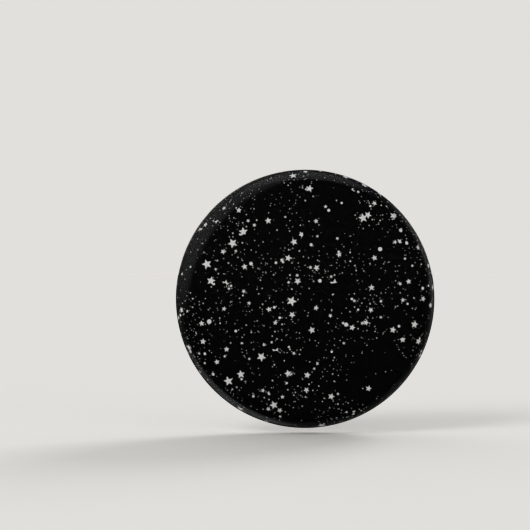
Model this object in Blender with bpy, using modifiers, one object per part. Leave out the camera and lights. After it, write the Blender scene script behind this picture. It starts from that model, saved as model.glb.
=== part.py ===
"""Pin-back button badge, 32 mm: film, printed paper, pressed shell, back plate and spring pin.

The badge is upright as it is worn: its face looks along -Y, its pin is on the +Y side and +Z is up.
The origin is the middle of the plane that the back rim rests in. Lengths are in millimetres until
they reach Blender, which works in metres.
"""

import math

import bmesh
import bpy
from mathutils import Matrix, Vector

MM = 0.001
SEGMENTS = 48

# Outside of the badge, as a turned profile: r from the axis, h from the back rim towards the face.
BADGE_RADIUS = 16.0
BADGE_DEPTH = 5.8
DOME_RADIUS = 106.0
DOME_EDGE = 13.0
CRIMP_RADIUS = 1.5
CRIMP_TURN = math.radians(78)

# The skins, from the outside in: depth of each outer surface below the badge's outside, and thickness.
FILM_DEPTH, FILM_THICKNESS = 0.0, 0.08
PAPER_DEPTH, PAPER_THICKNESS = 0.11, 0.12
SHELL_DEPTH, SHELL_THICKNESS = 0.28, 0.25

# Back plate: radii and depths of its back surface.
PLATE_THICKNESS, PLATE_BEND = 0.30, 0.28
FLOOR_RADIUS, FLOOR_DEPTH = 10.15, 2.75
STEP_RADIUS, STEP_DEPTH = 10.45, 2.40
WALL_FOOT_RADIUS, WALL_FOOT_DEPTH = 12.90, 1.90
RIDGE_RADIUS, RIDGE_DEPTH = 13.35, 0.75
GROOVE_RADIUS, GROOVE_DEPTH = 13.75, 0.80
RIM_INNER, RIM_OUTER = 13.95, 14.45
SKIRT_RADIUS, SKIRT_DEPTH = 14.50, 1.30
FLANGE_RADIUS, FLANGE_DEPTH = 15.15, 1.55

# The two slots that the wire passes through.
SLOT_X, SLOT_Z = 8.95, -0.16
SLOT_LENGTH, SLOT_HEIGHT, SLOT_CORNER = 6.5, 3.4, 1.5

# Spring wire.
WIRE_RADIUS = 0.4
BASE_Y, BASE_Z = -3.70, 0.47
BEND_X = -10.1
ARM_Y = -1.85
BEND_TILT = math.radians(14)
BEND_SPLIT = math.radians(155)
SPLIT_GAP = 0.5
ARM_FALL = math.radians(1.9)
TIP_X, TIP_RADIUS, TIP_TAPER = 10.9, 0.08, 1.8
CATCH_INNER_X, CATCH_OUTER_X = 6.75, 10.4
CATCH_TOP_Y, CATCH_TOE_Y, CATCH_TOE_Z = -0.55, -0.50, -3.51
LEG_BEND, TOE_BEND = 0.6, 1.4
CUT_END_Y = -4.10


def clear_scene():
    for item in list(bpy.data.objects):
        bpy.data.objects.remove(item, do_unlink=True)


def new_collection(name):
    group = bpy.data.collections.new(name)
    bpy.context.scene.collection.children.link(group)
    return group


def material(name, colour, roughness, metallic=0.0, alpha=1.0):
    made = bpy.data.materials.new(name)
    made.use_nodes = True
    shader = made.node_tree.nodes["Principled BSDF"]
    shader.inputs["Base Color"].default_value = (*colour, 1.0)
    shader.inputs["Roughness"].default_value = roughness
    shader.inputs["Metallic"].default_value = metallic
    shader.inputs["Alpha"].default_value = alpha
    made.diffuse_color = (*colour, alpha)
    made.metallic = metallic
    made.roughness = roughness
    return made


def finish(item, group, surface):
    group.objects.link(item)
    item.data.materials.append(surface)
    return item


# ---------------------------------------------------------------- turned sheets

def arc(centre, radius, start, end, steps):
    angles = (start + (end - start) * step / steps for step in range(steps + 1))
    return [Vector((centre[0] + radius * math.cos(a), centre[1] + radius * math.sin(a))) for a in angles]


def skin_profile(depth):
    """The badge's outside, moved inwards by depth: dome, rounded edge, crimp."""
    dome_half = math.asin(DOME_EDGE / DOME_RADIUS)
    dome_centre = (0.0, BADGE_DEPTH - DOME_RADIUS)
    edge_radius = (BADGE_RADIUS - DOME_EDGE) / (1 - math.sin(dome_half))
    reach = DOME_RADIUS - edge_radius
    edge_centre = (reach * math.sin(dome_half), dome_centre[1] + reach * math.cos(dome_half))
    crimp_centre = (BADGE_RADIUS - CRIMP_RADIUS, edge_centre[1])
    dome = arc(dome_centre, DOME_RADIUS - depth, math.pi / 2, math.pi / 2 - dome_half, 3)
    edge = arc(edge_centre, edge_radius - depth, math.pi / 2 - dome_half, 0.0, 8)
    crimp = arc(crimp_centre, CRIMP_RADIUS - depth, 0.0, -CRIMP_TURN, 5)
    return dome + edge[1:] + crimp[1:]


def rounded(corners, radius, steps):
    """A polyline whose inner corners are arcs, or as much of one as the neighbours leave room for."""
    line = [corners[0]]
    for before, corner, after in zip(corners, corners[1:], corners[2:]):
        back, ahead = (before - corner), (after - corner)
        turn = math.pi - back.angle(ahead)
        reach = min(radius * math.tan(turn / 2), back.length * 0.45, ahead.length * 0.45)
        first, last = corner + back.normalized() * reach, corner + ahead.normalized() * reach
        for step in range(steps + 1):
            t = step / steps
            line.append(first.lerp(corner, t).lerp(corner.lerp(last, t), t))
    return line + [corners[-1]]


def offset_line(line, distance):
    """The line moved to its right-hand side, square to its own run; the first point stays on the axis."""
    moved = []
    for index, point in enumerate(line):
        ahead = line[min(index + 1, len(line) - 1)] - line[max(index - 1, 0)]
        side = Vector((ahead.y, -ahead.x)).normalized()
        moved.append(point + side * distance)
    moved[0].x = line[0].x
    return moved


def plate_profile():
    """The middle of the back plate's sheet, from the axis out: floor, step, dish, ridge, groove, rim, skirt."""
    corners = [
        (0.0, FLOOR_DEPTH), (FLOOR_RADIUS, FLOOR_DEPTH), (STEP_RADIUS, STEP_DEPTH),
        (WALL_FOOT_RADIUS, WALL_FOOT_DEPTH), (RIDGE_RADIUS, RIDGE_DEPTH), (GROOVE_RADIUS, GROOVE_DEPTH),
        (RIM_INNER, 0.0), (RIM_OUTER, 0.0), (SKIRT_RADIUS, SKIRT_DEPTH), (FLANGE_RADIUS, FLANGE_DEPTH),
    ]
    inside = Vector((0.0, PLATE_THICKNESS / 2))
    return rounded([Vector(corner) + inside for corner in corners], PLATE_BEND, 2)


def turned(name, near, far, group, surface):
    """One sheet turned about the badge's axis, between two profiles that both run out from the axis."""
    outline = near + far[::-1]
    mesh = bpy.data.meshes.new(name)
    points = [(point.x * MM, 0.0, point.y * MM) for point in outline]
    edges = [(index, index + 1) for index in range(len(points) - 1)]
    mesh.from_pydata(points, edges, [])
    item = finish(bpy.data.objects.new(name, mesh), group, surface)
    item.rotation_euler = (math.pi / 2, 0.0, 0.0)
    screw = item.modifiers.new("turn", "SCREW")
    screw.steps = SEGMENTS
    screw.render_steps = SEGMENTS
    screw.use_merge_vertices = True
    screw.merge_threshold = 0.000001
    return item


def skin(name, depth, thickness, group, surface):
    return turned(name, skin_profile(depth), skin_profile(depth + thickness), group, surface)


# ---------------------------------------------------------------- back plate

def slot_cutter(name, x, group):
    """A rounded oblong bar along Y, in the cutters' collection, that a slot is cut with."""
    shape = bmesh.new()
    half_length = SLOT_LENGTH / 2 - SLOT_CORNER
    half_height = SLOT_HEIGHT / 2 - SLOT_CORNER
    corners = ((1, 1, 0), (-1, 1, 90), (-1, -1, 180), (1, -1, 270))
    outline = []
    for side_x, side_z, start in corners:
        centre = (x + side_x * half_length, SLOT_Z + side_z * half_height)
        outline += arc(centre, SLOT_CORNER, math.radians(start), math.radians(start + 90), 6)
    near, far = 0.3, -FLOOR_DEPTH - 0.6
    face = shape.faces.new([shape.verts.new((p.x * MM, near * MM, p.y * MM)) for p in outline])
    swept = bmesh.ops.extrude_face_region(shape, geom=[face])["geom"]
    moved = [part for part in swept if isinstance(part, bmesh.types.BMVert)]
    bmesh.ops.translate(shape, verts=moved, vec=(0.0, (far - near) * MM, 0.0))
    bmesh.ops.recalc_face_normals(shape, faces=shape.faces)
    mesh = bpy.data.meshes.new(name)
    shape.to_mesh(mesh)
    shape.free()
    cutter = bpy.data.objects.new(name, mesh)
    cutter.hide_render = True
    cutter.display_type = "WIRE"
    group.objects.link(cutter)
    return cutter


def back_plate(group, cutters, surface):
    middle = plate_profile()
    near, far = (offset_line(middle, side * PLATE_THICKNESS / 2) for side in (-1, 1))
    plate = turned("back_plate", near, far, group, surface)
    for side, x in (("spring", -SLOT_X), ("catch", SLOT_X)):
        cut = plate.modifiers.new(side + "_slot", "BOOLEAN")
        cut.operation = "DIFFERENCE"
        cut.solver = "EXACT"
        cut.object = slot_cutter(side + "_slot_cutter", x, cutters)
    return plate


# ---------------------------------------------------------------- spring wire

def bent(corners, radii, steps):
    """A wire's centreline: straight runs joined by arcs of the given bend radii, one for each corner."""
    line = [corners[0]]
    for before, corner, after, radius in zip(corners, corners[1:], corners[2:], radii):
        back, ahead = (before - corner).normalized(), (after - corner).normalized()
        half = back.angle(ahead) / 2
        middle = corner + (back + ahead).normalized() * radius / math.sin(half)
        first = corner + back * radius / math.tan(half) - middle
        last = corner + ahead * radius / math.tan(half) - middle
        sweep = math.pi - 2 * half
        for step in range(steps + 1):
            angle = sweep * step / steps
            share = (math.sin(sweep - angle) / math.sin(sweep), math.sin(angle) / math.sin(sweep))
            line.append(middle + first * share[0] + last * share[1])
    return line + [corners[-1]]


def spring_bend():
    """The hairpin that the wire is bent in at the spring end.

    It leaves the base run behind the plate, comes out through the slot and turns back as the pin. It is
    split just before the turn ends, where the wire runs along the line that the pin swings about.
    Returns the fixed part's points, the pin's points, the pivot and the axis.
    """
    across = Vector((0.0, math.cos(BEND_TILT), -math.sin(BEND_TILT)))
    radius = (ARM_Y - BASE_Y) / 2 / math.cos(BEND_TILT)
    centre = Vector((BEND_X, BASE_Y, BASE_Z)) + across * radius

    def point(middle, angle):
        return middle + radius * (Vector((-math.sin(angle), 0.0, 0.0)) - across * math.cos(angle))

    fixed = [point(centre, BEND_SPLIT * step / 12) for step in range(13)]
    axis = across * math.sin(BEND_SPLIT) - Vector((math.cos(BEND_SPLIT), 0.0, 0.0))
    moved = centre + axis * SPLIT_GAP
    rest = math.pi - BEND_SPLIT
    pin = [point(moved, BEND_SPLIT + rest * step / 4) for step in range(5)]
    run = Vector((math.cos(ARM_FALL), 0.0, -math.sin(ARM_FALL)))
    tip = pin[-1] + run * (TIP_X - pin[-1].x) / run.x
    taper_start = tip - run * TIP_TAPER
    return fixed, pin + [taper_start, tip], fixed[-1] + axis * SPLIT_GAP / 2, axis


def wire(name, points, radii, group, surface):
    shape = bpy.data.curves.new(name, "CURVE")
    shape.dimensions = "3D"
    shape.bevel_depth = WIRE_RADIUS * MM
    shape.bevel_resolution = 2
    shape.use_fill_caps = True
    run = shape.splines.new("POLY")
    run.points.add(len(points) - 1)
    for node, point, radius in zip(run.points, points, radii):
        node.co = (*(point * MM), 1.0)
        node.radius = radius / WIRE_RADIUS
    return finish(bpy.data.objects.new(name, shape), group, surface)


def catch_route(fixed_bend):
    """From the spring bend, behind the plate, out through the slot as the U of the catch, and back in."""
    corners = [fixed_bend[0]] + [Vector(corner) for corner in (
        (CATCH_INNER_X, BASE_Y, BASE_Z),
        (CATCH_INNER_X, CATCH_TOP_Y, BASE_Z),
        (CATCH_INNER_X, CATCH_TOE_Y, CATCH_TOE_Z),
        (CATCH_OUTER_X, CATCH_TOE_Y, CATCH_TOE_Z),
        (CATCH_OUTER_X, CATCH_TOP_Y, BASE_Z),
        (CATCH_OUTER_X, CUT_END_Y, BASE_Z),
    )]
    radii = (LEG_BEND, LEG_BEND, TOE_BEND, TOE_BEND, LEG_BEND)
    return fixed_bend[::-1] + bent(corners, radii, 6)[1:]


def spring_wire(group, surface):
    fixed_bend, pin_points, pivot_point, axis = spring_bend()
    route = catch_route(fixed_bend)
    wire("catch_wire", route, [WIRE_RADIUS] * len(route), group, surface)

    pivot = bpy.data.objects.new("pin_pivot", None)
    pivot.empty_display_size = 0.003
    pivot.matrix_world = Matrix.Translation(pivot_point * MM) @ axis.to_track_quat("Z", "Y").to_matrix().to_4x4()
    group.objects.link(pivot)
    radii = [WIRE_RADIUS] * (len(pin_points) - 1) + [TIP_RADIUS]
    arm = wire("pin_arm", [point - pivot_point for point in pin_points], radii, group, surface)
    arm.parent = pivot
    arm.matrix_parent_inverse = pivot.matrix_world.to_3x3().inverted().to_4x4()


def main():
    clear_scene()
    badge = new_collection("pin_back_button_badge")
    cutters = new_collection("cutters")
    film = material("clear_film", (0.95, 0.95, 0.95), 0.05, alpha=0.25)
    paper = material("printed_paper", (0.006, 0.006, 0.007), 0.45)
    tinplate = material("tinplate", (0.78, 0.77, 0.74), 0.28, metallic=1.0)
    spring_steel = material("spring_wire", (0.82, 0.82, 0.82), 0.15, metallic=1.0)

    skin("clear_film", FILM_DEPTH, FILM_THICKNESS, badge, film)
    skin("printed_paper", PAPER_DEPTH, PAPER_THICKNESS, badge, paper)
    skin("front_shell", SHELL_DEPTH, SHELL_THICKNESS, badge, tinplate)
    back_plate(badge, cutters, tinplate)
    spring_wire(badge, spring_steel)


main()
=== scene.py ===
# %% [markdown]
# # A pin-back button badge, 32 mm across
#
# The badge is five things pressed together: clear film, a printed paper disc, a domed steel shell, a
# steel back plate, and one bent wire that is both the pin and its catch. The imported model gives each
# one's place and how the pin swings. This lesson makes each of them again at the fineness that the eye
# sees, and gives it its finish.

# %% Load the frame
import math

import bpy
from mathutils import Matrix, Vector, noise


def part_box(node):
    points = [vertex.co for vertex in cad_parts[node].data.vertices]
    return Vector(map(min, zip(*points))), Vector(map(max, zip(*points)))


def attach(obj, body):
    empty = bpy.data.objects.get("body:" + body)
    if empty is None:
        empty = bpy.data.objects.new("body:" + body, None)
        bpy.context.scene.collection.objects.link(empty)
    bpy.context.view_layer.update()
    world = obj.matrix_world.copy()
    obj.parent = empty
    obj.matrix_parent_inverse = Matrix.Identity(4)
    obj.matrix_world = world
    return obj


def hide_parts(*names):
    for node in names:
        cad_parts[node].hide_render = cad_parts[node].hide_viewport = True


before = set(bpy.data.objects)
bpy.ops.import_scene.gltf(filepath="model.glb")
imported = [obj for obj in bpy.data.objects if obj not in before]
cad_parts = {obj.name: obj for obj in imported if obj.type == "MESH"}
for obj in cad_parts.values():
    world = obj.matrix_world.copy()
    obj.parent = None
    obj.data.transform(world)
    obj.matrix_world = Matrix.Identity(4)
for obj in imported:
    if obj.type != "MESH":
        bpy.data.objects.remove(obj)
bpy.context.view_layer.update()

MM = 0.001

# %% [markdown]
# ## Two small helpers
#
# Every colour below is written as a hex value, the way a colour picker shows it. Blender shades in
# linear light, so one function turns a hex value into that. The other helper adds a node, sets it up
# and links it in one call, which keeps a material readable from top to bottom.

# %% Colours and nodes
def linear(hex_colour):
    """An sRGB hex colour as linear red, green, blue and an alpha of 1."""
    channels = [int(hex_colour[i:i + 2], 16) / 255 for i in (1, 3, 5)]
    return tuple(c / 12.92 if c <= 0.04045 else ((c + 0.055) / 1.055) ** 2.4 for c in channels) + (1.0,)


def add_node(tree, kind, inputs=None, **settings):
    """A node with its settings. An input is a value, or another node's output to link."""
    node = tree.nodes.new(kind)
    for name, value in settings.items():
        setattr(node, name, value)
    for key, value in (inputs or {}).items():
        if isinstance(value, bpy.types.NodeSocket):
            tree.links.new(value, node.inputs[key])
        else:
            node.inputs[key].default_value = value
    return node


def new_finish(name):
    """An empty material, its node tree and its output node."""
    made = bpy.data.materials.new(name)
    made.use_nodes = True
    made.node_tree.nodes.clear()
    return made, made.node_tree, add_node(made.node_tree, "ShaderNodeOutputMaterial")

# %% [markdown]
# ## Studio: camera
#
# The camera looks squarely at the face, a little to the left of the badge and above its middle. A
# long lens keeps the round face round. The distance is worked out from how large the badge should be
# in the picture, and nothing is shifted or tilted.

# %% Camera
badge_low, badge_high = (Vector(corner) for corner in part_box("clear_film"))
RADIUS = badge_high.x / MM
DEPTH = -badge_low.y / MM
WIDEST_Y = -1.6

LENS_MM, SENSOR_MM = 100.0, 36.0
BADGE_SHARE = 0.490
SIDE_STEP, HEIGHT = -4.94, 4.15

camera_data = bpy.data.cameras.new("camera")
camera_data.lens = LENS_MM
camera_data.sensor_width = SENSOR_MM
camera_data.clip_start = 0.01
camera = bpy.data.objects.new("camera", camera_data)
distance = 2 * RADIUS / BADGE_SHARE * LENS_MM / SENSOR_MM
camera.location = (SIDE_STEP * MM, (WIDEST_Y - distance) * MM, HEIGHT * MM)
camera.rotation_euler = (math.pi / 2, 0.0, 0.0)
bpy.context.scene.collection.objects.link(camera)
bpy.context.scene.camera = camera
bpy.context.scene.view_settings.view_transform = "Standard"
print("badge radius", round(RADIUS, 2), "mm, depth", round(DEPTH, 2), "mm")
print("camera", round(distance, 1), "mm away")

# %% [markdown]
# ## Studio: light
#
# A black, glossy face shows whatever is in front of it, so the room is dark behind the camera and
# only its sides glow. The steel back wants the opposite: broad pale panels with dark between them,
# which is what makes metal look like metal. One world shader gives both, because each looks its own
# way. The panels are for reflections only. Everything matt gets an even, soft light, and the camera
# sees a pale backdrop. Each panel has a direction, the angles from it at which it fades out and is
# full, a brightness and a tint.

# %% World
BACKDROP = "#E2E0DC"
SOFT_LIGHT = 0.80

world = bpy.data.worlds.new("studio")
bpy.context.scene.world = world
world.use_nodes = True
tree = world.node_tree
tree.nodes.clear()
look = add_node(tree, "ShaderNodeTexCoord").outputs["Generated"]

PANELS = [
    ("room behind the badge", (0, 1, 0), 90, 55, 0.19, "#E6EBF4"),
    ("glow on the face's edge", (-0.78, 0.05, 0.62), 54, 18, 0.50, "#FFFFFF"),
    ("upper panel", (-0.30, 0.90, 0.30), 24, 9, 1.35, "#FFF9EE"),
    ("low panel", (0.32, 0.90, -0.27), 23, 8, 1.05, "#FFF7EA"),
    ("side panel", (0.70, 0.68, 0.22), 26, 10, 0.90, "#FFFFFF"),
    ("corner panel", (-0.45, 0.56, -0.66), 30, 14, 1.00, "#FFFFFF"),
    ("overhead strip", (0, 0.30, 1), 36, 12, 0.70, "#FFFFFF"),
]
DARKEST = "#262626"

glow = linear(DARKEST)[:3]
for _, direction, fades_at, full_at, brightness, tint in PANELS:
    along = add_node(tree, "ShaderNodeVectorMath", {0: look, 1: Vector(direction).normalized()},
                     operation="DOT_PRODUCT").outputs["Value"]
    outer, core = math.cos(math.radians(fades_at)), math.cos(math.radians(full_at))
    panel = add_node(tree, "ShaderNodeMapRange", {"Value": along, "From Min": outer, "From Max": core,
                     "To Max": brightness}, interpolation_type="SMOOTHSTEP").outputs[0]
    tinted = add_node(tree, "ShaderNodeVectorMath", {0: linear(tint)[:3], "Scale": panel}, operation="SCALE")
    glow = add_node(tree, "ShaderNodeVectorMath", {0: tinted.outputs[0], 1: glow}, operation="ADD").outputs[0]
panels = add_node(tree, "ShaderNodeBackground", {"Color": glow})
backdrop = add_node(tree, "ShaderNodeBackground", {"Color": linear(BACKDROP)})
soft_light = add_node(tree, "ShaderNodeBackground", {"Color": linear("#E2E1DF"), "Strength": SOFT_LIGHT})
rays = add_node(tree, "ShaderNodeLightPath")
around = add_node(tree, "ShaderNodeMixShader", {0: rays.outputs["Is Glossy Ray"], 1: soft_light.outputs[0],
                  2: panels.outputs[0]})
seen = add_node(tree, "ShaderNodeMixShader", {0: rays.outputs["Is Camera Ray"], 1: around.outputs[0],
                2: backdrop.outputs[0]})
add_node(tree, "ShaderNodeOutputWorld", {"Surface": seen.outputs[0]})

# %% Lamps
AIM = Vector((0.0, 0.0, 0.0))
LAMP_SIZE = 0.40


def softbox(name, place, size, watts, colour="#FFFFFF"):
    """A square area lamp at a place in metres, turned to the badge.

    Its own mirror image is kept out of the gloss, and the room's panels give the reflections.
    """
    data = bpy.data.lights.new(name, "AREA")
    data.size = size
    data.energy = watts
    data.color = linear(colour)[:3]
    lamp = bpy.data.objects.new(name, data)
    lamp.location = place
    lamp.rotation_euler = (AIM - Vector(place)).to_track_quat("-Z", "Y").to_euler()
    lamp.visible_glossy = False
    bpy.context.scene.collection.objects.link(lamp)


softbox("front_key", (-0.55, -0.55, 0.60), LAMP_SIZE, 4.0)
softbox("front_fill", (0.65, -0.60, 0.10), LAMP_SIZE, 1.0)
softbox("back_key", (0.45, 0.60, 0.50), LAMP_SIZE, 4.0, "#FFFCF6")
softbox("back_fill", (-0.60, 0.45, 0.10), LAMP_SIZE, 1.0, "#F6F8FF")

# %% [markdown]
# The badge stands just above a pale floor. The floor only shows where a shadow falls on it, so it
# blends into the backdrop, and it stays out of the gloss.

# %% Floor
FLOOR_GAP = 0.5

bpy.ops.object.select_all(action="DESELECT")
bpy.ops.mesh.primitive_plane_add(size=6.0, location=(0, 0, -(RADIUS + FLOOR_GAP) * MM))
floor = bpy.context.object
floor.name = "floor"
floor.is_shadow_catcher = True
floor.visible_glossy = False
floor_finish, tree, output = new_finish("pale_floor")
shader = add_node(tree, "ShaderNodeBsdfPrincipled", {"Base Color": linear("#E4E2DE"), "Roughness": 0.9})
tree.links.new(shader.outputs[0], output.inputs["Surface"])
floor.data.materials.append(floor_finish)

# %% [markdown]
# ## Drawing a line and turning it
#
# Film, paper, shell and plate are all round, so each is one outline spun about the badge's axis. The
# outline is drawn as by hand: a plane is merged to a single point, and the point is extruded from
# place to place. A spin of a whole turn then makes the solid, and merging doubles closes the seam.

# %% Line and spin
TURN_STEPS = 256
AXIS = Vector((0.0, 1.0, 0.0))
MERGE_DISTANCE = 0.0000005
SHEET_SMOOTH = math.radians(40)


def draw_line(name, points):
    """A chain of points in metres, extruded one after another; left in edit mode."""
    bpy.ops.object.select_all(action="DESELECT")
    bpy.ops.mesh.primitive_plane_add(size=MM, location=points[0])
    line = bpy.context.object
    line.name = name
    line.data.name = name
    bpy.ops.object.mode_set(mode="EDIT")
    bpy.ops.mesh.select_all(action="SELECT")
    bpy.ops.mesh.merge(type="CENTER")
    for here, there in zip(points, points[1:]):
        bpy.ops.mesh.extrude_region_move(TRANSFORM_OT_translate={"value": there - here})
    return line


def set_down(piece):
    """Puts a piece's place into its mesh, so that the object itself sits at the origin."""
    bpy.ops.object.transform_apply(location=True, rotation=True, scale=True)
    return piece


def spin_sheet(name, outer, inner):
    """A closed sheet between two profiles of (r, h) in millimetres, both drawn from the axis out."""
    outline = [Vector((p.x, -p.y, 0.0)) * MM for p in outer + inner[::-1]]
    piece = draw_line(name, outline)
    bpy.ops.mesh.select_all(action="SELECT")
    bpy.ops.mesh.spin(steps=TURN_STEPS, angle=2 * math.pi, center=(0, 0, 0), axis=AXIS)
    bpy.ops.mesh.select_all(action="SELECT")
    bpy.ops.mesh.remove_doubles(threshold=MERGE_DISTANCE)
    bpy.ops.mesh.normals_make_consistent(inside=False)
    bpy.ops.object.mode_set(mode="OBJECT")
    set_down(piece)
    bpy.ops.object.shade_smooth_by_angle(angle=SHEET_SMOOTH)
    print(name, len(piece.data.polygons), "faces")
    return piece

# %% [markdown]
# ## The badge's outline
#
# The face is a very flat dome. It rolls over the edge in a tighter curve, and a tighter one still
# tucks it under the rim. All three skins follow this one outline at their own depths, which is how
# a press stacks them. The tucked edge of a real badge is never quite even, so a slow ripple of a few
# hundredths of a millimetre runs round it.

# %% Outline of the skins
DOME_RADIUS, DOME_EDGE = 106.0, 13.0
CRIMP_RADIUS, CRIMP_TURN = 1.5, math.radians(82)
DOME_STEPS, EDGE_STEPS, CRIMP_STEPS = 12, 18, 14
DOME_HALF = math.asin(DOME_EDGE / DOME_RADIUS)
EDGE_RADIUS = (RADIUS - DOME_EDGE) / (1 - math.sin(DOME_HALF))
EDGE_CENTRE = ((DOME_RADIUS - EDGE_RADIUS) * math.sin(DOME_HALF),
               DEPTH - DOME_RADIUS + (DOME_RADIUS - EDGE_RADIUS) * math.cos(DOME_HALF))


def arc(centre, radius, start, end, steps):
    angles = (start + (end - start) * step / steps for step in range(steps + 1))
    return [Vector((centre[0] + radius * math.cos(a), centre[1] + radius * math.sin(a))) for a in angles]


def skin_profile(depth, crimp_turn=CRIMP_TURN):
    """Dome, rounded edge and crimp as (r, h) in millimetres, moved inwards by depth."""
    dome_end = math.pi / 2 - DOME_HALF
    crimp_centre = (RADIUS - CRIMP_RADIUS, EDGE_CENTRE[1])
    dome = arc((0.0, DEPTH - DOME_RADIUS), DOME_RADIUS - depth, math.pi / 2, dome_end, DOME_STEPS)
    edge = arc(EDGE_CENTRE, EDGE_RADIUS - depth, dome_end, 0.0, EDGE_STEPS)
    crimp = arc(crimp_centre, CRIMP_RADIUS - depth, 0.0, -crimp_turn, CRIMP_STEPS)
    dome[0].x = 0.0
    return dome + edge[1:] + crimp[1:]


RIPPLE_FROM = 0.013
RIPPLE_LIFT, RIPPLE_SLOW, RIPPLE_FAST = 0.02, 0.04, 0.02
SLOW_WAVES, FAST_WAVES = 6.0, 23.0


def ripple_crimp(piece):
    """Moves the tucked edge in and out by a few hundredths of a millimetre, the same on every skin."""
    tuck_start = EDGE_CENTRE[1]
    for vertex in piece.data.vertices:
        share = min(1.0, max(0.0, (tuck_start + vertex.co.y / MM) / tuck_start))
        round_axis = Vector((vertex.co.x, 0.0, vertex.co.z))
        if share > 0.0 and round_axis.length > RIPPLE_FROM:
            out = round_axis.normalized()
            wave = RIPPLE_LIFT + noise.noise(out * SLOW_WAVES) * RIPPLE_SLOW
            wave += noise.noise(out * FAST_WAVES) * RIPPLE_FAST
            vertex.co += out * wave * share * share * MM


def make_skin(name, depth, thickness, crimp_turn=CRIMP_TURN):
    piece = spin_sheet(name, skin_profile(depth, crimp_turn), skin_profile(depth + thickness, crimp_turn))
    ripple_crimp(piece)
    return piece

# %% [markdown]
# ## Film, paper and shell
#
# The film is taken as 0.08 mm polyester, the paper as 0.12 mm and the shell as 0.25 mm tinplate, which
# are usual for such badges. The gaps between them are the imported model's. The film runs a little
# further under the rim than the paper does.

# %% Three skins
PAPER_SHORT, SHELL_SHORT = math.radians(1), math.radians(2)

film = make_skin("film", 0.0, 0.08)
printed = make_skin("print_disc", 0.11, 0.12, CRIMP_TURN - PAPER_SHORT)
shell = make_skin("steel_shell", 0.28, 0.25, CRIMP_TURN - SHELL_SHORT)

# %% [markdown]
# ## The paper lies flat before it is pressed
#
# The print is made on a flat disc, so a star near the edge bends over it with the paper. The paper
# gets a UV map that is that flat disc: a point's distance from the middle is measured along the
# outline and not straight across.

# %% Flat map of the paper
FLAT_SPAN = 48.0
PAPER_MIDDLE = 0.17
BLANK_EDGE = 0.2


def flat_radius_table(profile):
    """Each outline point as (r, h), with the distance along the outline from the middle."""
    table, walked = [], 0.0
    for here, before in zip(profile, [profile[0]] + profile):
        walked += (here - before).length
        table.append((here, walked))
    return table


def unroll(piece, table):
    """Adds the flat disc's UV map to a skin."""
    layer = piece.data.uv_layers.new(name="flat_disc")
    walked = []
    for vertex in piece.data.vertices:
        here = Vector((math.hypot(vertex.co.x, vertex.co.z), -vertex.co.y)) / MM
        walked.append(min(table, key=lambda entry: (entry[0] - here).length_squared)[1])
    for loop in piece.data.loops:
        place = piece.data.vertices[loop.vertex_index].co
        out = Vector((place.x, place.z))
        if out.length > 0:
            out = out.normalized() * walked[loop.vertex_index] / FLAT_SPAN
        layer.data[loop.index].uv = (0.5 + out.x, 0.5 + out.y)


paper_table = flat_radius_table(skin_profile(PAPER_MIDDLE))
unroll(printed, paper_table)
PRINT_EDGE = paper_table[DOME_STEPS + EDGE_STEPS][1] - BLANK_EDGE
print("flat paper disc", round(2 * paper_table[-1][1], 1), "mm across, printed to", round(2 * PRINT_EDGE, 1))

# %% [markdown]
# ## Finish: clear polyester film
#
# The film is bonded to the print, and the two shine as one surface. The eye sees that gloss as coming
# from the print, so the print's finish has it as a clear coat, and the film itself is left almost
# invisible: see-through, with the faintest mirror of its own.

# %% Film finish
film_finish, tree, output = new_finish("polyester_film")
FILM_SHARE, FILM_ROUGHNESS = 0.003, 0.09
clear = add_node(tree, "ShaderNodeBsdfTransparent")
mirror = add_node(tree, "ShaderNodeBsdfAnisotropic", {"Color": linear("#FFFFFF"),
                  "Roughness": FILM_ROUGHNESS})
mixed = add_node(tree, "ShaderNodeMixShader", {0: FILM_SHARE, 1: clear.outputs[0], 2: mirror.outputs[0]})
tree.links.new(mixed.outputs[0], output.inputs["Surface"])
film.data.materials.append(film_finish)
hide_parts("clear_film")
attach(film, "badge")

# %% [markdown]
# ## Finish: printed paper
#
# The print is a night sky: a few dozen small five-pointed stars, some round dots and a great many
# specks. Each is one Voronoi cell's point with its own random size and turn, so nothing repeats. The
# stars' edges come from the straight line between a tip and a notch, written in polar form. A slow
# noise thins the specks in places, as scattered stars cluster. Past the rim the paper is blank.

# %% Scattered marks
paper_finish, tree, output = new_finish("printed_paper")
uv = add_node(tree, "ShaderNodeUVMap", uv_map="flat_disc").outputs["UV"]
centred = add_node(tree, "ShaderNodeVectorMath", {0: uv, 1: (0.5, 0.5, 0.0)}, operation="SUBTRACT").outputs[0]
flat = add_node(tree, "ShaderNodeVectorMath", {0: centred, 1: (FLAT_SPAN, FLAT_SPAN, 0.0)},
                operation="MULTIPLY").outputs[0]
NOTCH, INK_SOFTNESS = 0.45, 0.012
TIP_ANGLE = 2 * math.pi / 5
DRIFT_MM = 6.25
SIZE_TIMES, TURN_TIMES, TONE_TIMES = 37.0, 53.0, 71.0
SEED_SLANT = 0.37
drift = add_node(tree, "ShaderNodeTexNoise", {"Vector": flat, "Scale": 1 / DRIFT_MM, "Detail": 2.0},
                 noise_dimensions="2D")
crowd = add_node(tree, "ShaderNodeMapRange", {"Value": drift.outputs[0], "From Min": 0.38, "From Max": 0.58,
                 "To Min": 0.25, "To Max": 1.0}).outputs[0]


def shuffled(random, times):
    """Another random number from the first. A cell's red and green follow its point; blue is free."""
    spread = add_node(tree, "ShaderNodeMath", {0: random, 1: times}, operation="MULTIPLY")
    return add_node(tree, "ShaderNodeMath", {0: spread.outputs[0]}, operation="FRACT").outputs[0]


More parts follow.
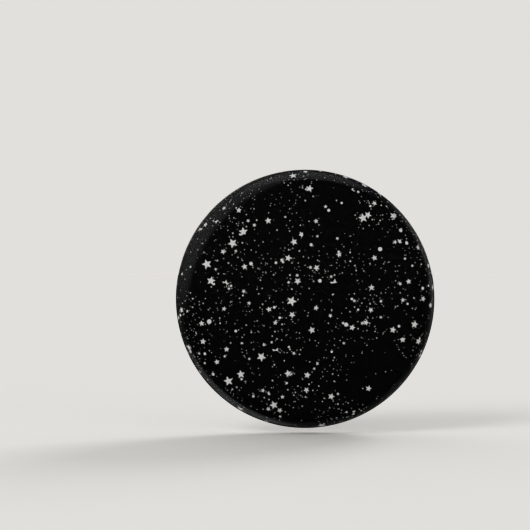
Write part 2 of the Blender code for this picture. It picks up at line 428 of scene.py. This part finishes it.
def marks(cell, seed, smallest, largest, share, faintest, points=False):
    """A mask of scattered marks, one to a cell at most, with radii in millimetres."""
    moved = add_node(tree, "ShaderNodeVectorMath", {0: flat, 1: (seed, seed * SEED_SLANT, 0.0)},
                     operation="ADD")
    scaled = add_node(tree, "ShaderNodeVectorMath", {0: moved.outputs[0], "Scale": 1 / cell},
                      operation="SCALE")
    cells = add_node(tree, "ShaderNodeTexVoronoi", {"Vector": scaled.outputs[0], "Scale": 1.0,
                     "Randomness": 0.9}, voronoi_dimensions="2D")
    random = add_node(tree, "ShaderNodeSeparateColor", {0: cells.outputs["Color"]}).outputs[2]
    size = add_node(tree, "ShaderNodeMath", {0: shuffled(random, SIZE_TIMES), 1: 2.0}, operation="POWER")
    size = add_node(tree, "ShaderNodeMapRange", {"Value": size.outputs[0], "To Min": smallest,
                    "To Max": largest})
    away = add_node(tree, "ShaderNodeMath", {0: cells.outputs["Distance"], 1: cell}, operation="MULTIPLY")
    reach = size.outputs[0]
    if points:
        turn = shuffled(random, TURN_TIMES)
        reach = star_edge(scaled.outputs[0], cells.outputs["Position"], turn, reach)
    inside = add_node(tree, "ShaderNodeMath", {0: reach, 1: away.outputs[0]}, operation="SUBTRACT")
    mask = add_node(tree, "ShaderNodeMapRange", {"Value": inside.outputs[0], "From Min": -INK_SOFTNESS,
                    "From Max": INK_SOFTNESS, "To Max": 1.0})
    chance = add_node(tree, "ShaderNodeMath", {0: crowd, 1: share}, operation="MULTIPLY")
    kept = add_node(tree, "ShaderNodeMath", {0: random, 1: chance.outputs[0]}, operation="LESS_THAN")
    tone = add_node(tree, "ShaderNodeMapRange", {"Value": shuffled(random, TONE_TIMES), "To Min": faintest})
    shown = add_node(tree, "ShaderNodeMath", {0: kept.outputs[0], 1: tone.outputs[0]}, operation="MULTIPLY")
    drawn = add_node(tree, "ShaderNodeMath", {0: mask.outputs[0], 1: shown.outputs[0]}, operation="MULTIPLY")
    return drawn.outputs[0]


def star_edge(here, middle, turn, size):
    """How far a five-pointed star reaches from its middle in this direction."""
    arm = add_node(tree, "ShaderNodeVectorMath", {0: here, 1: middle}, operation="SUBTRACT")
    parts = add_node(tree, "ShaderNodeSeparateXYZ", {0: arm.outputs[0]})
    angle = add_node(tree, "ShaderNodeMath", {0: parts.outputs[1], 1: parts.outputs[0]}, operation="ARCTAN2")
    turned = add_node(tree, "ShaderNodeMath", {0: turn, 1: 2 * math.pi, 2: angle.outputs[0]},
                      operation="MULTIPLY_ADD")
    folded = add_node(tree, "ShaderNodeMath", {0: turned.outputs[0], 1: TIP_ANGLE}, operation="PINGPONG")
    folded = add_node(tree, "ShaderNodeMath", {0: folded.outputs[0], 1: TIP_ANGLE / 2}, operation="PINGPONG")
    tip = add_node(tree, "ShaderNodeMath", {0: folded.outputs[0]}, operation="SINE")
    rest = add_node(tree, "ShaderNodeMath", {0: TIP_ANGLE / 2, 1: folded.outputs[0]}, operation="SUBTRACT")
    rest = add_node(tree, "ShaderNodeMath", {0: rest.outputs[0]}, operation="SINE")
    below = add_node(tree, "ShaderNodeMath", {0: rest.outputs[0], 1: NOTCH, 2: tip.outputs[0]},
                     operation="MULTIPLY_ADD")
    edge = add_node(tree, "ShaderNodeMath", {0: NOTCH * math.sin(TIP_ANGLE / 2), 1: below.outputs[0]},
                    operation="DIVIDE")
    return add_node(tree, "ShaderNodeMath", {0: edge.outputs[0], 1: size}, operation="MULTIPLY").outputs[0]

# %% [markdown]
# The marks come in five kinds: stars, small stars, dots, specks and dust. The smaller ones are printed
# more or less faintly. Silver-grey ink on black lies a little unevenly, which a fine noise gives.
#
# The clear coat is the bonded film. It mirrors the room by Fresnel's rule up to a cap. The cap isn't a
# property of the film: it was set so that the edge stays as dark as it looks on the badge. The
# faintest waviness keeps the gloss from looking machined.

# %% Paper finish
FIBRE_PER_MM, MOTTLE_MM = 3.0, 0.15
WAVE_MM, GLOSS_CAP = 2.5, 0.020
EDGE_BLUR = 0.03
layers = [
    marks(2.6, 11.0, 0.34, 0.62, 0.72, 0.95, points=True),
    marks(2.1, 61.0, 0.18, 0.32, 0.36, 0.90, points=True),
    marks(2.3, 47.0, 0.13, 0.27, 0.30, 0.95),
    marks(0.74, 83.0, 0.045, 0.090, 0.48, 0.55),
    marks(0.50, 29.0, 0.03, 0.05, 0.36, 0.35),
]
ink = layers[0]
for layer in layers[1:]:
    ink = add_node(tree, "ShaderNodeMath", {0: ink, 1: layer}, operation="MAXIMUM").outputs[0]
fibre = add_node(tree, "ShaderNodeTexNoise", {"Vector": flat, "Scale": FIBRE_PER_MM, "Detail": 4.0})
black = add_node(tree, "ShaderNodeMix", {0: fibre.outputs[0], 6: linear("#010101"), 7: linear("#060606")},
                 data_type="RGBA")
mottle = add_node(tree, "ShaderNodeTexNoise", {"Vector": flat, "Scale": 1 / MOTTLE_MM, "Detail": 1.0})
mottle = add_node(tree, "ShaderNodeMapRange", {"Value": mottle.outputs[0], "From Min": 0.3, "From Max": 0.7})
silver = add_node(tree, "ShaderNodeMix", {0: mottle.outputs[0], 6: linear("#B6B6B6"), 7: linear("#D0D0D0")},
                  data_type="RGBA")
night = add_node(tree, "ShaderNodeMix", {0: ink, 6: black.outputs[2], 7: silver.outputs[2]}, data_type="RGBA")
from_middle = add_node(tree, "ShaderNodeVectorMath", {0: flat}, operation="LENGTH").outputs["Value"]
margin = add_node(tree, "ShaderNodeMapRange", {"Value": from_middle, "From Min": PRINT_EDGE - EDGE_BLUR,
                  "From Max": PRINT_EDGE + EDGE_BLUR})
colour = add_node(tree, "ShaderNodeMix", {0: margin.outputs[0], 6: night.outputs[2], 7: linear("#E9E8E5")},
                  data_type="RGBA")
waves = add_node(tree, "ShaderNodeTexNoise", {"Vector": flat, "Scale": 1 / WAVE_MM, "Detail": 1.0})
bumps = add_node(tree, "ShaderNodeBump", {"Height": waves.outputs[0], "Strength": 0.05,
                 "Distance": 0.02 * MM})
mirror = add_node(tree, "ShaderNodeFresnel", {"IOR": 1.5})
coat = add_node(tree, "ShaderNodeMath", {0: GLOSS_CAP, 1: mirror.outputs[0]}, operation="DIVIDE",
                use_clamp=True)
shader = add_node(tree, "ShaderNodeBsdfPrincipled", {"Base Color": colour.outputs[2], "Roughness": 0.6,
                  "Specular IOR Level": 0.0, "Coat Weight": coat.outputs[0], "Coat IOR": 1.5,
                  "Coat Roughness": 0.08, "Coat Normal": bumps.outputs[0]})
tree.links.new(shader.outputs[0], output.inputs["Surface"])
printed.data.materials.append(paper_finish)
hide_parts("printed_paper")
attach(printed, "badge")

# %% [markdown]
# ## Finish: bright tinplate
#
# Tinplate is thin steel with a skin of tin. It is rolled, so it has a fine straight grain, here up and
# down the badge, drawn about a tenth of a millimetre wide. It dulls and tints the metal a little and
# gives the reflections their drawn-out look. Slow clouds, about 4 mm across, vary the polish.

# %% Tinplate finish
GRAIN_MM, GRAIN_LENGTH_MM = 0.09, 2.0
CLOUDS_PER_METRE = 260.0


def tinplate(name, base, streak, roughness):
    made, tree, output = new_finish(name)
    place = add_node(tree, "ShaderNodeTexCoord").outputs["Object"]
    stretch = (1 / (GRAIN_MM * MM), 1 / (GRAIN_MM * MM), 1 / (GRAIN_LENGTH_MM * MM))
    drawn = add_node(tree, "ShaderNodeVectorMath", {0: place, 1: stretch}, operation="MULTIPLY")
    grain = add_node(tree, "ShaderNodeTexNoise", {"Vector": drawn.outputs[0], "Scale": 1.0, "Detail": 3.0,
                     "Roughness": 0.6}).outputs[0]
    cloud = add_node(tree, "ShaderNodeTexNoise", {"Vector": place, "Scale": CLOUDS_PER_METRE,
                     "Detail": 2.0}).outputs[0]
    sharp = add_node(tree, "ShaderNodeMapRange", {"Value": grain, "From Min": 0.35,
                     "From Max": 0.65}).outputs[0]
    colour = add_node(tree, "ShaderNodeMix", {0: sharp, 6: linear(base), 7: linear(streak)}, data_type="RGBA")
    worn = add_node(tree, "ShaderNodeMath", {0: cloud, 1: sharp}, operation="ADD").outputs[0]
    dull = add_node(tree, "ShaderNodeMapRange", {"Value": worn, "From Min": 0.3, "From Max": 1.6,
                    "To Min": roughness * 0.85, "To Max": roughness * 1.2}).outputs[0]
    bumps = add_node(tree, "ShaderNodeBump", {"Height": grain, "Strength": 0.03, "Distance": 0.01 * MM})
    shader = add_node(tree, "ShaderNodeBsdfPrincipled", {"Base Color": colour.outputs[2], "Metallic": 1.0,
                      "Roughness": dull, "Normal": bumps.outputs[0]})
    tree.links.new(shader.outputs[0], output.inputs["Surface"])
    return made


# The shell's inside is the same tinplate with a darker, warmer colour. That colour is painted shade: it
# stands in for the shadow inside the badge, seen through the slots.
shell.data.materials.append(tinplate("tinplate_inside_darkened_for_shade", "#B3AEA9", "#B9B4AF", 0.38))
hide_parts("front_shell")
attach(shell, "badge")

# %% [markdown]
# ## The back plate
#
# One pressing: a flat recessed floor, a small step up, a shallow dish, a wall with a bead and a groove
# at its top, and a rolled rim that the shell is crimped against. Its outline is a few corners, each
# rounded to the bend that sheet of this thickness takes.

# %% Plate outline
PLATE_THICKNESS, RING_SPACING = 0.30, 0.7
PLATE_CORNERS = [
    ("floor", 0.0, 2.75, 0.0), ("foot of the step", 10.15, 2.75, 0.2), ("top of the step", 10.45, 2.40, 0.2),
    ("foot of the wall", 12.90, 1.90, 0.5), ("bead", 13.35, 0.75, 0.25), ("groove", 13.75, 0.80, 0.25),
    ("rim, inside", 13.95, 0.0, 0.28), ("rim, outside", 14.45, 0.0, 0.28), ("skirt", 14.50, 1.30, 0.3),
    ("flange", 15.15, 1.55, 0.0),
]


def rounded(corners, radii, steps):
    """A polyline whose inner corners are arcs, or as much of one as the neighbours leave room for."""
    line = [corners[0]]
    for before, corner, after, radius in zip(corners, corners[1:], corners[2:], radii[1:]):
        back, ahead = before - corner, after - corner
        turn = math.pi - back.angle(ahead)
        reach = min(radius * math.tan(turn / 2), back.length * 0.45, ahead.length * 0.45)
        first, last = corner + back.normalized() * reach, corner + ahead.normalized() * reach
        for step in range(steps + 1):
            t = step / steps
            line.append(first.lerp(corner, t).lerp(corner.lerp(last, t), t))
    return line + [corners[-1]]


def offset_line(line, distance):
    """The line moved to its right-hand side; the first point stays on the axis."""
    moved = []
    for index, point in enumerate(line):
        ahead = line[min(index + 1, len(line) - 1)] - line[max(index - 1, 0)]
        moved.append(point + Vector((ahead.y, -ahead.x)).normalized() * distance)
    moved[0].x = 0.0
    return moved


inside = Vector((0.0, PLATE_THICKNESS / 2))
middle = rounded([Vector((r, h)) + inside for _, r, h, _ in PLATE_CORNERS],
                 [radius for _, _, _, radius in PLATE_CORNERS], 6)


def ringed(line, spacing):
    """The line with points added so that none of its runs is longer than the spacing."""
    filled = [line[0]]
    for here in line[1:]:
        parts = math.ceil((here - filled[-1]).length / spacing)
        filled += [filled[-1].lerp(here, step / parts) for step in range(1, parts)] + [here]
    return filled


middle = ringed(middle, RING_SPACING)
plate = spin_sheet("pressed_back", offset_line(middle, -PLATE_THICKNESS / 2),
                   offset_line(middle, PLATE_THICKNESS / 2))

# %% [markdown]
# A short stiffening crease runs from each slot out to the wall, in line with the pin. The faces there
# are cut finer first, so that the crease can be narrow. It fades in and out at its ends.

# %% Creases
CREASE_Z, CREASE_HEIGHT, CREASE_HALF = -0.95, 0.13, 0.30
CREASE_START, CREASE_END = 10.9, 13.2
CREASE_RISE, CREASE_FALL, CREASE_REACH = 0.6, 0.3, 2.2

bpy.ops.object.mode_set(mode="EDIT")
bpy.ops.mesh.select_mode(type="FACE")
bpy.ops.mesh.select_all(action="DESELECT")
bpy.ops.object.mode_set(mode="OBJECT")
for face in plate.data.polygons:
    x, z = abs(face.center.x) / MM, face.center.z / MM
    face.select = CREASE_START < x < CREASE_END and abs(z - CREASE_Z) < CREASE_REACH * CREASE_HALF
bpy.ops.object.mode_set(mode="EDIT")
bpy.ops.mesh.subdivide(number_cuts=3)
bpy.ops.mesh.select_mode(type="VERT")
bpy.ops.object.mode_set(mode="OBJECT")
for vertex in plate.data.vertices:
    x, z = abs(vertex.co.x) / MM, vertex.co.z / MM
    along = min(1.0, max(0.0, (x - CREASE_START) / CREASE_RISE))
    along *= min(1.0, max(0.0, (CREASE_END - x) / CREASE_FALL))
    across = math.exp(-2 * ((z - CREASE_Z) / CREASE_HALF) ** 2)
    vertex.co.y += CREASE_HEIGHT * along * across * MM

# %% [markdown]
# The slots are punched. A box with its long edges bevelled round is the punch, and a Boolean takes
# it out of the plate. Punching leaves a slightly rounded lip, which a narrow bevel gives.

# %% Punch the slots
SLOT_X, SLOT_Z = 8.95, -0.16
SLOT_LENGTH, SLOT_HEIGHT, SLOT_CORNER = 6.5, 3.4, 1.5
PUNCH_DEPTH = 8.0
LIP, LIP_ANGLE = 0.07, math.radians(55)


def punch(x):
    """The round-cornered bar that punches one slot, along Y."""
    bpy.ops.object.select_all(action="DESELECT")
    bpy.ops.mesh.primitive_cube_add(size=1.0, location=(x * MM, 0.0, SLOT_Z * MM))
    bar = bpy.context.object
    bar.scale = (SLOT_LENGTH * MM, PUNCH_DEPTH * MM, SLOT_HEIGHT * MM)
    set_down(bar)
    bpy.ops.object.mode_set(mode="EDIT")
    bpy.ops.mesh.select_all(action="DESELECT")
    bpy.ops.object.mode_set(mode="OBJECT")
    for edge in bar.data.edges:
        low, high = (bar.data.vertices[i].co for i in edge.vertices)
        edge.select = abs(low.y - high.y) > MM
    bpy.ops.object.mode_set(mode="EDIT")
    bpy.ops.mesh.bevel(offset=SLOT_CORNER * MM, segments=12, offset_type="OFFSET")
    bpy.ops.object.mode_set(mode="OBJECT")
    return bar


def apply_modifier(piece, kind, **settings):
    bpy.ops.object.select_all(action="DESELECT")
    bpy.context.view_layer.objects.active = piece
    piece.select_set(True)
    added = piece.modifiers.new(kind.lower(), kind)
    for name, value in settings.items():
        setattr(added, name, value)
    bpy.ops.object.modifier_apply(modifier=added.name)


for x in (-SLOT_X, SLOT_X):
    bar = punch(x)
    apply_modifier(plate, "BOOLEAN", operation="DIFFERENCE", solver="MANIFOLD", object=bar)
    bpy.data.objects.remove(bar, do_unlink=True)
print("slots punched,", len(plate.data.polygons), "faces")

# %% Lip of the slots
apply_modifier(plate, "BEVEL", width=LIP * MM, segments=2, limit_method="ANGLE",
               angle_limit=LIP_ANGLE, use_clamp_overlap=True, loop_slide=False)
bpy.ops.object.shade_smooth_by_angle(angle=SHEET_SMOOTH)
apply_modifier(plate, "WEIGHTED_NORMAL", keep_sharp=True, weight=80)
plate.data.materials.clear()
plate.data.materials.append(tinplate("tinplate_bright", "#C8C8C8", "#D4D4D3", 0.18))
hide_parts("back_plate")
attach(plate, "badge")

# %% [markdown]
# ## The wire
#
# One length of 0.8 mm spring wire makes pin and catch. Behind the plate it runs straight across. At
# one end it comes out through the slot in a hairpin and becomes the pin; at the other it comes out,
# makes a U over the pin's tip, goes back in and ends in a straight cut. Its middle line is drawn as
# straight runs joined by arcs, the way a bending jig makes it. It is split in the hairpin, where the
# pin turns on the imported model's hinge.

# %% Wire route
WIRE_RADIUS = 0.4
BASE_Y, BASE_Z, ARM_Y = -3.70, 0.47, -1.85
BEND_X, BEND_TILT, BEND_SPLIT = -10.1, math.radians(14), math.radians(155)
SPLIT_GAP, SEAM = 0.5, 0.004
ARM_FALL = math.radians(1.9)
TIP_X, TIP_RADIUS, TIP_TAPER = 10.9, 0.03, 1.8
CATCH_INNER_X, CATCH_OUTER_X = 6.75, 10.4
CATCH_TOP_Y, CATCH_TOE_Y, CATCH_TOE_Z = -0.55, -0.50, -3.51
LEG_BEND, TOE_BEND, CUT_END_Y = 0.6, 1.4, -4.10
FIXED_STEPS, MOVING_STEPS, CATCH_STEPS, TIP_STEPS = 36, 8, 14, 10


def bent(corners, radii, steps):
    """Straight runs joined by arcs of the given bend radii, one for each inner corner."""
    line = [corners[0]]
    for before, corner, after, radius in zip(corners, corners[1:], corners[2:], radii):
        back, ahead = (before - corner).normalized(), (after - corner).normalized()
        half = back.angle(ahead) / 2
        centre = corner + (back + ahead).normalized() * radius / math.sin(half)
        first = corner + back * radius / math.tan(half) - centre
        last = corner + ahead * radius / math.tan(half) - centre
        sweep = math.pi - 2 * half
        for step in range(steps + 1):
            turned = sweep * step / steps
            share = (math.sin(sweep - turned) / math.sin(sweep), math.sin(turned) / math.sin(sweep))
            line.append(centre + first * share[0] + last * share[1])
    return line + [corners[-1]]


across = Vector((0.0, math.cos(BEND_TILT), -math.sin(BEND_TILT)))
bend_radius = (ARM_Y - BASE_Y) / 2 / math.cos(BEND_TILT)
bend_centre = Vector((BEND_X, BASE_Y, BASE_Z)) + across * bend_radius
swing_axis = across * math.sin(BEND_SPLIT) - Vector((math.cos(BEND_SPLIT), 0.0, 0.0))


def on_bend(centre, angle):
    return centre + bend_radius * (Vector((-math.sin(angle), 0.0, 0.0)) - across * math.cos(angle))


fixed_bend = [on_bend(bend_centre, BEND_SPLIT * step / FIXED_STEPS) for step in range(FIXED_STEPS + 1)]
pivot = fixed_bend[-1] + swing_axis * SPLIT_GAP / 2
rest_turn = math.pi - BEND_SPLIT
moved_centre = bend_centre + swing_axis * SPLIT_GAP
moving_bend = [on_bend(moved_centre, BEND_SPLIT + rest_turn * step / MOVING_STEPS)
               for step in range(MOVING_STEPS + 1)]
catch_corners = [fixed_bend[0]] + [Vector(corner) for corner in (
    (CATCH_INNER_X, BASE_Y, BASE_Z), (CATCH_INNER_X, CATCH_TOP_Y, BASE_Z),
    (CATCH_INNER_X, CATCH_TOE_Y, CATCH_TOE_Z), (CATCH_OUTER_X, CATCH_TOE_Y, CATCH_TOE_Z),
    (CATCH_OUTER_X, CATCH_TOP_Y, BASE_Z), (CATCH_OUTER_X, CUT_END_Y, BASE_Z),
)]
catch_radii = (LEG_BEND, LEG_BEND, TOE_BEND, TOE_BEND, LEG_BEND)
fixed_route = [pivot - swing_axis * SEAM] + fixed_bend[::-1]
fixed_route += bent(catch_corners, catch_radii, CATCH_STEPS)[1:]

run = Vector((math.cos(ARM_FALL), 0.0, -math.sin(ARM_FALL)))
tip = moving_bend[-1] + run * (TIP_X - moving_bend[-1].x) / run.x
ground = [(tip - run * TIP_TAPER * (1 - step / TIP_STEPS), step / TIP_STEPS)
          for step in range(TIP_STEPS + 1)]
pin_route = [pivot + swing_axis * SEAM] + moving_bend + [point for point, _ in ground]
pin_radii = [WIRE_RADIUS] * (1 + len(moving_bend))
pin_radii += [max(TIP_RADIUS, WIRE_RADIUS * (1 - share ** 2.0)) for _, share in ground]
print("pin", round((tip - pivot).length, 1), "mm from bend to tip")

# %% [markdown]
# The line becomes a curve, and the curve's bevel gives it the wire's round section. The pin's tip is
# ground to a point, which the points' own radii give.

# %% Wire pieces
WIRE_SMOOTH = math.radians(50)


def draw_wire(name, route, radii):
    piece = draw_line(name, [point * MM for point in route])
    bpy.ops.object.mode_set(mode="OBJECT")
    set_down(piece)
    bpy.ops.object.convert(target="CURVE")
    piece.data.bevel_depth = WIRE_RADIUS * MM
    piece.data.bevel_resolution = 5
    piece.data.use_fill_caps = True
    points = piece.data.splines[0].points
    if (points[0].co.xyz - route[0] * MM).length > (points[-1].co.xyz - route[0] * MM).length:
        radii = radii[::-1]
    for point, radius in zip(points, radii):
        point.radius = radius / WIRE_RADIUS
    bpy.ops.object.convert(target="MESH")
    bpy.ops.object.mode_set(mode="EDIT")
    bpy.ops.mesh.select_all(action="SELECT")
    bpy.ops.mesh.remove_doubles(threshold=MERGE_DISTANCE)
    bpy.ops.mesh.normals_make_consistent(inside=False)
    bpy.ops.object.mode_set(mode="OBJECT")
    bpy.ops.object.shade_smooth_by_angle(angle=WIRE_SMOOTH)
    print(name, len(piece.data.polygons), "faces")
    return piece


catch = draw_wire("catch_and_base", fixed_route, [WIRE_RADIUS] * len(fixed_route))
pin = draw_wire("pin", pin_route, pin_radii)

# %% [markdown]
# ## Finish: nickel-plated spring wire
#
# Plating leaves a bright, slightly warm mirror. Drawing the wire through a die and bending it leave
# faint marks, which show as small changes in how sharp the reflection is.

# %% Wire finish
MARK_MM = 0.5
wire_finish, tree, output = new_finish("nickel_plated_wire")
place = add_node(tree, "ShaderNodeTexCoord").outputs["Object"]
marks_noise = add_node(tree, "ShaderNodeTexNoise", {"Vector": place, "Scale": 1 / (MARK_MM * MM),
                       "Detail": 4.0})
dull = add_node(tree, "ShaderNodeMapRange", {"Value": marks_noise.outputs[0], "From Min": 0.3,
                "From Max": 0.7, "To Min": 0.08, "To Max": 0.2})
bumps = add_node(tree, "ShaderNodeBump", {"Height": marks_noise.outputs[0], "Strength": 0.15,
                 "Distance": 0.01 * MM})
colour = add_node(tree, "ShaderNodeMix", {0: marks_noise.outputs[0], 6: linear("#CFCDC9"),
                  7: linear("#E4E2DD")}, data_type="RGBA")
shader = add_node(tree, "ShaderNodeBsdfPrincipled", {"Base Color": colour.outputs[2], "Metallic": 1.0,
                  "Roughness": dull.outputs[0], "Normal": bumps.outputs[0]})
tree.links.new(shader.outputs[0], output.inputs["Surface"])
for piece, node, body in ((catch, "catch_wire", "badge"), (pin, "pin_arm", "pin")):
    piece.data.materials.append(wire_finish)
    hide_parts(node)
    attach(piece, body)
